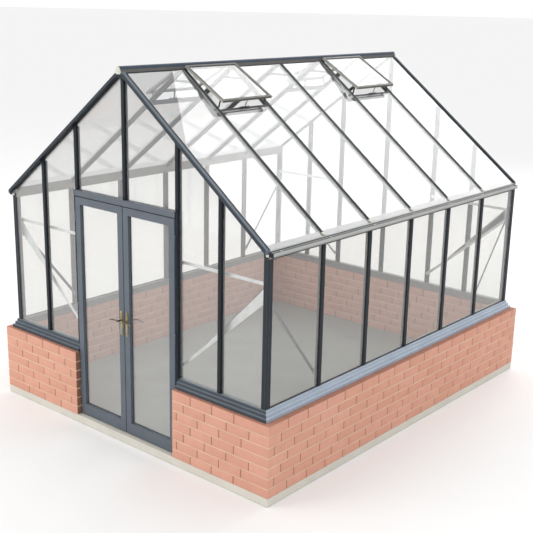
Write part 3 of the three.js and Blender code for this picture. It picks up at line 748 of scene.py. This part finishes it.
def gable_caps():
    half = GABLE_CAP_W / 2
    for name, sy in (("front", -1), ("back", 1)):
        caps = Shape()
        low = SILL_TOP + 0.001
        for side in (-1, 1):
            gable_cap(caps, sy, side * GABLE_BAR - half, side * GABLE_BAR + half, low)
            if name == "back":
                gable_cap(caps, sy, side * DOOR_BAR - half, side * DOOR_BAR + half, low)
                continue
            gable_cap(caps, sy, side * DOOR_BAR - half, side * DOOR_BAR + half, HEAD_HIGH.z + 0.001)
            x0, x1 = sorted((side * (DOOR_BAR + 0.0035), side * (DOOR_BAR + half)))
            place = on_face((0, -GABLE_GLASS - TOUCH, 0), -1)
            caps.prism(rect(x0, x1, low, HEAD_HIGH.z), 0, CAP_H, place, 0.002)
            x0, x1 = sorted((side * (DOOR_BAR + 0.008), side * (DOOR_BAR + half + 0.003)))
            proud = GABLE + 0.023 - GABLE_GLASS
            caps.prism(rect(x0, x1, low, HEAD_HIGH.z), CAP_H - 0.002, proud, place, 0.002)
            x0, x1 = sorted((side * (HEAD_HIGH.x + TOUCH), side * (DOOR_BAR + 0.009)))
            caps.prism(rect(x0, x1, HEAD_LOW.z, HEAD_HIGH.z), CAP_H - 0.002, proud, place, 0.001)
        gable_cap(caps, sy, -half, half, HEAD_HIGH.z + 0.001 if name == "front" else low)
        piece(f"gable_caps_{name}", caps, [DARK, RUBBER])


def roof_caps():
    """Cap strips over the roof bars, each with a cream clip at the eave end, and strips on the edges."""
    end = ROOF_CAP_END
    start = (RIDGE_X + 0.006) / math.cos(PITCH)
    over = GLASS_N + TOUCH
    for side, name in ((1, "right"), (-1, "left")):
        caps = Shape()
        down = slope(side)
        for y in BAR_YS:
            place = down @ axes((0, y, over), (0, 1, 0), (0, 0, 1), (1, 0, 0))
            caps.prism(cap_outline(ROOF_CAP_W, ROOF_CAP_H), start, end - 0.030, place, 0.001)
            caps.prism(cap_outline(ROOF_CAP_W + 0.002, ROOF_CAP_H + 0.002), end - 0.029, end, place, 0.002, 1)
            edge = ROOF_CAP_W / 2 + 0.0015
            for at in (-edge, edge):
                seal = rect(at - GASKET, at + GASKET, 0, GASKET_H)
                caps.prism(seal, start, end - 0.031, place, 0, 2)
        piece(f"roof_caps_{name}", caps, [DARK, CREAM, LIGHT_GREY])
        strips = Shape()
        near, far = ROOF_LOW.y + 0.001, ROOF_HIGH.y - 0.001
        for y0 in (near, far - 0.011):
            strips.box(start - 0.005, end, y0, y0 + 0.011, over, over + 0.003, 0.001, place=down)
        under = (RIDGE_X + TOUCH) / math.cos(PITCH)
        strips.box(under, under + 0.008, near, far, over, over + 0.0015, 0.0005, place=down)
        strips.box(end + 0.003, end + 0.014, near, far, over, over + 0.0020, 0.0008, 1, down)
        strips.box(end + 0.0145, end + 0.0225, near, far, over, over + 0.0030, 0.0008, place=down)
        strips.box(end + 0.0230, end + 0.0295, near, far, over, over + 0.0020, 0.0005, 1, down)
        piece(f"roof_edge_strips_{name}", strips, [DARK, LIGHT_GREY])


def verge_trims():
    """Dark raised edges along both sides of the gable rafters."""
    ribs = Shape()
    length = SPAN / math.cos(PITCH) - 0.014
    front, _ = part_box("gable_frame_front")
    _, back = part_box("gable_frame_back")
    rise = VERGE_TOP + TOUCH
    for side in (1, -1):
        down = slope(side)
        for y0, y1 in ((front.y, ROOF_LOW.y), (ROOF_HIGH.y, back.y)):
            for a in (y0 + 0.001, y1 - 0.010):
                ribs.box(0.040, length, a, a + 0.009, rise, rise + 0.002, 0.0008, place=down)
    piece("verge_trims", ribs, [DARK])


def post_trims():
    """Thin ribs down the outer faces of the corner posts, as drawn profiles have them."""
    ribs = Shape()
    low, high = SILL_TOP + 0.004, EAVE - 0.004
    for sx in (-1, 1):
        for sy in (-1, 1):
            for k in POST_RIBS:
                a, b = sorted((sx * (SPAN - k), sx * (SPAN - k - RIB_W)))
                c, d = sorted((sy * (GABLE + TOUCH), sy * (GABLE + RIB_OUT)))
                ribs.box(a, b, c, d, low, high, 0.0005)
                a, b = sorted((sy * (GABLE - k), sy * (GABLE - k - RIB_W)))
                c, d = sorted((sx * (SPAN + TOUCH), sx * (SPAN + RIB_OUT)))
                ribs.box(c, d, a, b, low, high, 0.0005)
    piece("post_trims", ribs, [RIB_PAINTED_HIGHLIGHT])


# ---- roof vents ------------------------------------------------------------------------------
def turned_sash(side):
    """The sash's own axes: x down from its hinge, z out of its underside."""
    seat = Matrix.Translation((VENT_START / math.cos(PITCH), 0, VENT_SEAT))
    return slope(side) @ seat @ Matrix.Rotation(-VENT_OPEN, 4, "Y")


def roof_vents():
    rail = [(0, 0.0015), (0, 0.0195), (0.0025, 0.022), (0.021, 0.022), (0.0245, 0.0170),
            (VENT_RAIL, 0.0158), (VENT_RAIL, 0.0015), (VENT_RAIL - 0.0015, 0), (0.0015, 0)]
    for side, side_name in ((1, "right"), (-1, "left")):
        sash_place, down = turned_sash(side), slope(side)
        for place_name, bay in VENT_BAYS.items():
            y0 = BAR_YS[bay - 1] + VENT_SIDE
            y1 = BAR_YS[bay - 1] + BAY - VENT_SIDE
            sash = Shape()
            sash.frame(0, VENT_L, y0, y1, rail, sash_place)
            seal = VENT_RAIL
            sash.frame(seal - 0.001, VENT_L - seal + 0.001, y0 + seal - 0.001, y1 - seal + 0.001,
                       [(0, 0.0152), (0, 0.0180), (0.004, 0.0170), (0.004, 0.0152)], sash_place, 1)
            name = f"{side_name}_{place_name}"
            piece(f"vent_sash_{name}", sash, [VENT, RUBBER],
                  stands_for=[f"roof_vent_{name}"])
            pane = Shape()
            inset = VENT_RAIL - 0.010
            pane.box(inset, VENT_L - inset, y0 + inset, y1 - inset, 0.011, 0.015, 0, place=sash_place)
            piece(f"vent_glass_{name}", pane, [ROOF_GLASS])
            vent_fittings(f"vent_fittings_{name}", sash_place, down, y0, y1)


def vent_fittings(name, sash_place, down, y0, y1):
    """Hinge roll, stay with its pegs on the fixed sill, and the two side arms."""
    parts = Shape()
    roll = sash_place @ axes((0.001, y0 + 0.01, 0.013), (0, 0, 1), (1, 0, 0), (0, 1, 0))
    length = y1 - y0 - 0.02
    parts.lathe([(0.004, 0), (0.0055, 0.0015), (0.0055, length - 0.0015), (0.004, length)], roll)
    middle = (y0 + y1) / 2
    foot = down @ Vector((VENT_SILL + 0.004, middle, 0.010))
    head = sash_place @ Vector((VENT_L - 0.016, middle + 0.02, 0.002))
    parts.sweep([foot, foot.lerp(head, 0.5), head], [(0.012, 0.006)] * 3, 8, 1)
    parts.box(VENT_SILL - 0.004, VENT_SILL + 0.015, middle - 0.06, middle + 0.06, 0.0085, 0.0125, 0.001,
              1, down)
    for peg in (-0.04, 0.0, 0.04):
        parts.lathe([(0.003, 0), (0.003, 0.010), (0.0042, 0.011), (0.0042, 0.014), (0.003, 0.015)],
                    down @ Matrix.Translation((VENT_SILL + 0.006, middle + peg, 0.0125)), 10, 2)
    for y, inward in ((y0 + 0.012, 1), (y1 - 0.012, -1)):
        low = down @ Vector((VENT_SILL - 0.030, y + inward * 0.012, 0.0))
        high = sash_place @ Vector((VENT_L - 0.050, y + inward * 0.012, 0.0))
        parts.sweep([low, low.lerp(high, 0.5), high], [(0.005, 0.016)] * 3, 8, 1)
    piece(name, parts, [VENT, DARK, STEEL])


# ---- doors -----------------------------------------------------------------------------------
def door_fittings():
    for side, sx in (("right", 1), ("left", -1)):
        body = f"door_{side}"
        x0, x1 = DOOR_GLASS_LOW.x - TOUCH, DOOR_GLASS_HIGH.x + TOUCH
        z0, z1 = DOOR_GLASS_LOW.z - TOUCH, DOOR_GLASS_HIGH.z + TOUCH
        out = axes((0, 0, 0), (sx, 0, 0), (0, 0, 1), (0, 1, 0))
        beads = Shape()
        face, pane = LEAF_LOW.y, DOOR_GLASS_LOW.y
        beads.frame(x0 - 0.0005, x1 + 0.0005, z0 - 0.0005, z1 + 0.0005,
                    [(0, face + 0.012), (0, pane - TOUCH), (0.005, pane - TOUCH), (0.005, pane - 0.004),
                     (0.0025, face + 0.012)], out, 2)
        beads.frame(x0 + 0.0046, x1 - 0.0046, z0 + 0.0046, z1 - 0.0046,
                    [(0, pane - 0.0035), (0, pane - TOUCH), (0.0025, pane - TOUCH),
                     (0.0025, pane - 0.003)], out, 1)
        back = DOOR_GLASS_HIGH.y
        beads.frame(x0 - 0.0005, x1 + 0.0005, z0 - 0.0005, z1 + 0.0005,
                    [(0, back + TOUCH), (0, back + 0.009), (0.009, back + 0.003), (0.009, back + TOUCH)], out)
        piece(f"door_beads_{side}", beads, [DARK, RUBBER, SLATE], body)

        seals = Shape()
        a, b = sorted((sx * 0.0008, sx * (LEAF_LOW.x + 0.001)))
        middle = (LEAF_LOW.y + LEAF_HIGH.y) / 2
        seals.box(a, b, middle - 0.004, middle + 0.004, LEAF_LOW.z + 0.01, LEAF_HIGH.z - 0.01, 0.001)
        a, b = sorted((sx * (LEAF_LOW.x + 0.02), sx * (LEAF_HIGH.x - 0.02)))
        seals.box(a, b, middle - 0.003, middle + 0.003, LEAF_LOW.z - 0.0065, LEAF_LOW.z + 0.001, 0.001)
        piece(f"door_seals_{side}", seals, [RUBBER], body)
        hinges(side, sx, body)
        handles(side, sx, body)


def hinges(side, sx, body):
    """Three-knuckle hinges: the middle knuckle turns with the door, the outer two stay with the post."""
    moving, fixed = Shape(), Shape()
    for z in HINGE_ZS:
        third = HINGE_H / 3
        for k, target in ((-1, fixed), (0, moving), (1, fixed)):
            z0, z1 = z + (k - 0.5) * third + HINGE_GAP, z + (k + 0.5) * third - HINGE_GAP
            r = HINGE_R
            target.lathe([(r - 0.001, z0), (r, z0 + 0.001), (r, z1 - 0.001), (r - 0.001, z1)],
                         Matrix.Translation((sx * HINGE_X, HINGE_Y, 0)))
        tip = z + HINGE_H / 2 + 0.0006
        fixed.lathe([(0.0025, tip), (0.0042, tip + 0.001), (0.0042, tip + 0.004), (0.002, tip + 0.006)],
                    Matrix.Translation((sx * HINGE_X, HINGE_Y, 0)), 12, 1)
        a, b = sorted((sx * (LEAF_HIGH.x + TOUCH), sx * (LEAF_HIGH.x + 0.0022)))
        moving.box(a, b, HINGE_Y + HINGE_FROM, HINGE_Y + HINGE_LEAF,
                   z - third / 2 + 0.001, z + third / 2 - 0.001, 0.0004)
        a, b = sorted(sx * x for x in HINGE_POST)
        for k in (-1, 1):
            fixed.box(a, b, HINGE_Y + HINGE_FROM, HINGE_Y + HINGE_FIXED, z + k * third - third / 2 + 0.001,
                      z + k * third + third / 2 - 0.001, 0.0004)
    piece(f"hinge_knuckles_{side}", moving, [SLATE], body)
    piece(f"hinge_leaves_{side}", fixed, [SLATE, STEEL], "root")


def rounded(width, z0, z1, corner=0.008, steps=4):
    """An upright rounded oblong as (x, z) points."""
    w = width / 2
    points = []
    for cx, cz, start in ((w - corner, z1 - corner, 0), (-w + corner, z1 - corner, 90),
                          (-w + corner, z0 + corner, 180), (w - corner, z0 + corner, 270)):
        for k in range(steps + 1):
            t = math.radians(start + 90 * k / steps)
            points.append((cx + corner * math.cos(t), cz + corner * math.sin(t)))
    return points


def handles(side, sx, body):
    plate_low, plate_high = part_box(f"door_plates_{side}")
    plates = Shape()
    for face, out in ((LEAF_LOW.y - TOUCH, -1), (LEAF_HIGH.y + TOUCH, 1)):
        place = on_face((sx * SPINDLE_X, face, 0), out)
        outline = rounded(plate_high.x - plate_low.x, plate_low.z, plate_high.z)
        plates.prism(outline, 0, 0.0038, place, 0.0008)
        inner = rounded(plate_high.x - plate_low.x - 0.008, plate_low.z + 0.004, plate_high.z - 0.004, 0.006)
        plates.prism(inner, 0.0036, 0.0058, place, 0.0008)
        for z in (plate_low.z + 0.012, plate_high.z - 0.012):
            plates.lathe([(0.0042, 0.0056), (0.0042, 0.0068), (0.0030, 0.0076), (0.0012, 0.0078)],
                         place @ Matrix.Translation((0, z, 0)), 12, 1)
        rose = place @ Matrix.Translation((0, SPINDLE_Z, 0))
        plates.lathe([(0.0125, 0.0056), (0.0125, 0.0100), (0.0110, 0.0125), (0.0092, 0.0125)], rose, 20)
        barrel = place @ Matrix.Translation((0, SPINDLE_Z - BARREL_DROP, 0))
        plates.lathe([(0.0085, 0.0056), (0.0085, 0.0095), (0.0078, 0.0102), (0.0050, 0.0104)], barrel, 18, 1)
        plates.box(-0.0045, 0.0045, -0.024, -0.004, 0.0056, 0.0095, 0.0012, 1, barrel)
        plates.box(-0.0008, 0.0008, -0.0030, 0.0030, 0.0102, 0.0108, 0, 2, barrel)
    plates.lathe([(0.0085, LEAF_LOW.y - 0.002), (0.0085, LEAF_HIGH.y + 0.002)],
                 on_face((sx * SPINDLE_X, 0, SPINDLE_Z), 1), 16, 1)
    piece(f"handle_plates_{side}", plates, [BRASS, STEEL, RUBBER], body, [f"door_plates_{side}"])

    lever = Shape()
    lever_low, lever_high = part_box(f"door_lever_{side}")
    reach = max(abs(lever_low.x), abs(lever_high.x)) - SPINDLE_X
    lever.lathe([(0.005, lever_low.y + 0.010), (0.006, lever_low.y + 0.012),
                 (0.006, lever_high.y - 0.012), (0.005, lever_high.y - 0.010)],
                on_face((sx * SPINDLE_X, 0, SPINDLE_Z), 1))
    for y, out in ((lever_low.y + 0.007, -1), (lever_high.y - 0.007, 1)):
        boss = on_face((sx * SPINDLE_X, y - out * 0.016, SPINDLE_Z), out)
        lever.lathe([(0.0075, 0), (0.0088, 0.002), (0.0088, 0.018), (0.0070, 0.022), (0.003, 0.0225)],
                    boss, 20)
        points, widths = [], []
        for k in range(LEVER_STEPS + 1):
            t = k / LEVER_STEPS
            wave = 0.004 * math.sin(t * math.pi * 1.5)
            points.append((sx * (SPINDLE_X + t * (reach - 0.003)), y, SPINDLE_Z + wave))
            thick = 0.0125 - 0.0040 * t
            if k == LEVER_STEPS:
                thick *= 0.4
            widths.append((thick, thick * 1.05))
        lever.sweep(points, widths, 14)
    piece(f"handle_lever_{side}", lever, [BRONZE], f"lever_{side}", [f"door_lever_{side}"])


# ---- small fixings ---------------------------------------------------------------------------
def dome(shape, place, radius=0.006, slot=0):
    shape.lathe([(radius * 1.25, 0), (radius * 1.25, 0.001), (radius, 0.0012), (radius * 0.92, 0.0030),
                 (radius * 0.6, 0.0042), (radius * 0.2, 0.0046)], place, 12, slot)


def brace_bolts():
    for name in ("front_left", "front_right", "back_left", "back_right"):
        low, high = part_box(f"corner_brace_{name}")
        sx = 1 if name.endswith("right") else -1
        sy = -1 if name.startswith("front") else 1
        corner_x, corner_y = max(abs(low.x), abs(high.x)), max(abs(low.y), abs(high.y))
        bolts = Shape()
        on_x = on_face((0, sy * (corner_y - BRACE_T - TOUCH), 0), -sy)
        on_y = axes((sx * (corner_x - BRACE_T - TOUCH), 0, 0), (0, 1, 0), (0, 0, 1), (-sx, 0, 0))
        near_x = min(abs(low.x), abs(high.x))
        for x, z in ((corner_x - 0.035, high.z - 0.016), (corner_x - 0.035, high.z - 0.156),
                     (near_x + 0.013, high.z - 0.016), (near_x + 0.013, low.z + 0.023)):
            dome(bolts, on_x @ Matrix.Translation((sx * x, z, 0)))
        near_y = min(abs(low.y), abs(high.y))
        for y, z in ((corner_y - 0.035, high.z - 0.170), (near_y + 0.020, low.z + 0.045)):
            dome(bolts, on_y @ Matrix.Translation((sy * y, z, 0)))
        piece(f"brace_bolts_{name}", bolts, [STEEL])


def end_caps():
    """End covers: cream on the ridge, cream over dark on the eave beams, dark on the gutters."""
    caps = Shape()
    for sy in (-1, 1):
        ridge_end = (RIDGE_HIGH if sy > 0 else RIDGE_LOW).y + sy * TOUCH
        place = on_face((0, ridge_end, 0), sy)
        low, top = APEX - 0.020, RIDGE_TOP - 0.001
        shoulder = APEX + 0.006
        caps.prism([(-0.017, low), (0.017, low), (0.030, APEX - 0.012), (0.030, shoulder), (0.011, top),
                    (-0.011, top), (-0.030, shoulder), (-0.030, APEX - 0.012)], 0, 0.0055, place, 0.001)
        place = on_face((0, sy * (GABLE + TOUCH), 0), sy)
        gutter_end = (GUTTER_HIGH if sy > 0 else GUTTER_LOW).y + sy * TOUCH
        gutter_place = on_face((0, gutter_end, 0), sy)
        for side in (-1, 1):
            a, b = sorted((side * (SPAN - 0.048), side * (SPAN - 0.001)))
            caps.prism(rect(a, b, EAVE + 0.002, EAVE + 0.038), 0, 0.002, place, 0.0005, 1)
            a, b = sorted((side * (SPAN - 0.030), side * (SPAN - 0.001)))
            caps.prism(rect(a, b, EAVE + 0.015, EAVE + 0.036), 0.0018, 0.004, place, 0.001)
            a, b = sorted((side * (GUTTER_LOW.x + 0.0005), side * GUTTER_HIGH.x))
            caps.prism(rect(a, b, GUTTER_LOW.z, GUTTER_HIGH.z), 0, 0.003, gutter_place, 0.001, 1)
    piece("end_caps", caps, [CREAM, DARK])


def gutter_brackets():
    for side, name in ((1, "right"), (-1, "left")):
        low, high = GUTTER_LOW, GUTTER_HIGH
        brackets = Shape()
        for k in range(BRACKETS):
            y = low.y + BRACKET_END + k * (high.y - low.y - 2 * BRACKET_END) / (BRACKETS - 1)
            a, b = sorted((side * (low.x + 0.001), side * (high.x + 0.0014)))
            brackets.box(a, b, y - 0.010, y + 0.010, high.z - 0.0005, high.z + 0.0014, 0.0004)
            a, b = sorted((side * (high.x + TOUCH), side * (high.x + 0.0014)))
            brackets.box(a, b, y - 0.010, y + 0.010, high.z - 0.014, high.z + 0.0010, 0.0004)
        lip = sorted((side * (low.x + 0.0005), side * (low.x + 0.0040)))
        brackets.box(*lip, low.y + 0.02, high.y - 0.02, high.z - 0.001, high.z + 0.0008, 0.0003)
        piece(f"gutter_fittings_{name}", brackets, [LIGHT_GREY])


# ---- floor, light and camera -----------------------------------------------------------------
def studio():
    mesh = bpy.data.meshes.new("studio_floor")
    corners = rect(-FLOOR_HALF, FLOOR_HALF, -FLOOR_HALF, FLOOR_HALF)
    mesh.from_pydata([(x, y, -FLOOR_DROP) for x, y in corners], [], [(0, 1, 2, 3)])
    floor = bpy.data.objects.new("studio_floor", mesh)
    bpy.context.scene.collection.objects.link(floor)
    look = Look("studio_floor", Roughness=0.9)
    look.colour(look.mix(look.noise(2, 3), (0.90, 0.90, 0.90), (0.92, 0.92, 0.92)))
    look.bsdf.inputs["Specular IOR Level"].default_value = 0.1
    mesh.materials.append(look.material)

    world = bpy.data.worlds.new("studio")
    bpy.context.scene.world = world
    world.use_nodes = True
    background = world.node_tree.nodes["Background"]
    background.inputs["Color"].default_value = (1, 1, 1, 1)
    background.inputs["Strength"].default_value = WORLD_LIGHT

    soft_light("key", KEY_AT, KEY_TOWARDS, KEY_SIZE, KEY_POWER, KEY_COLOUR)
    soft_light("back", BACK_AT, BACK_TOWARDS, BACK_SIZE, BACK_POWER, (1.0, 1.0, 1.0))


def soft_light(name, place, towards, size, power, colour):
    data = bpy.data.lights.new(name, "AREA")
    data.size = size
    data.energy = power
    data.color = colour
    light = bpy.data.objects.new(name, data)
    bpy.context.scene.collection.objects.link(light)
    light.location = place
    light.rotation_euler = (Vector(towards) - Vector(place)).to_track_quat("-Z", "Y").to_euler()
    return light


FLOOR_HALF = 180  # centre to edge
FLOOR_DROP = 0.002  # below the base's underside
WORLD_LIGHT = 1.0
KEY_AT, KEY_TOWARDS, KEY_SIZE = (-4.5, -9.0, 6.0), (0, 0, 1.0), 6.0
KEY_POWER = 270  # watts
KEY_COLOUR = (1.0, 0.97, 0.93)
BACK_AT, BACK_TOWARDS, BACK_SIZE = (0, 9.0, 8.5), (0, 0, 2.0), 7.5
BACK_POWER = 450
CAMERA_AT = (5.848, -6.998, 3.736)
SENSOR_MM, LENS_MM, CLIP_END = 36, 65.59, 200
CAMERA_AZIMUTH, CAMERA_ELEVATION, CAMERA_ROLL = (math.radians(a) for a in (40.34, 15.69, 1.23))


def camera():
    data = bpy.data.cameras.new("camera")
    data.sensor_width = SENSOR_MM
    data.lens = LENS_MM
    data.clip_end = CLIP_END
    cam = bpy.data.objects.new("camera", data)
    bpy.context.scene.collection.objects.link(cam)
    bpy.context.scene.camera = cam
    a, e, r = CAMERA_AZIMUTH, CAMERA_ELEVATION, CAMERA_ROLL
    ahead = Vector((-math.sin(a) * math.cos(e), math.cos(a) * math.cos(e), -math.sin(e)))
    right = Vector((math.cos(a), math.sin(a), 0))
    up = right.cross(ahead)
    level_right = right * math.cos(r) + up * math.sin(r)
    level_up = up * math.cos(r) - right * math.sin(r)
    cam.matrix_world = axes(CAMERA_AT, level_right, level_up, -ahead)


scene = bpy.context.scene
scene.view_settings.view_transform = "Standard"
scene.view_settings.look = "None"

dress_frame()
brickwork()
side_caps()
gable_caps()
roof_caps()
verge_trims()
post_trims()
roof_vents()
door_fittings()
brace_bolts()
end_caps()
gutter_brackets()
studio()
camera()

bpy.context.view_layer.update()
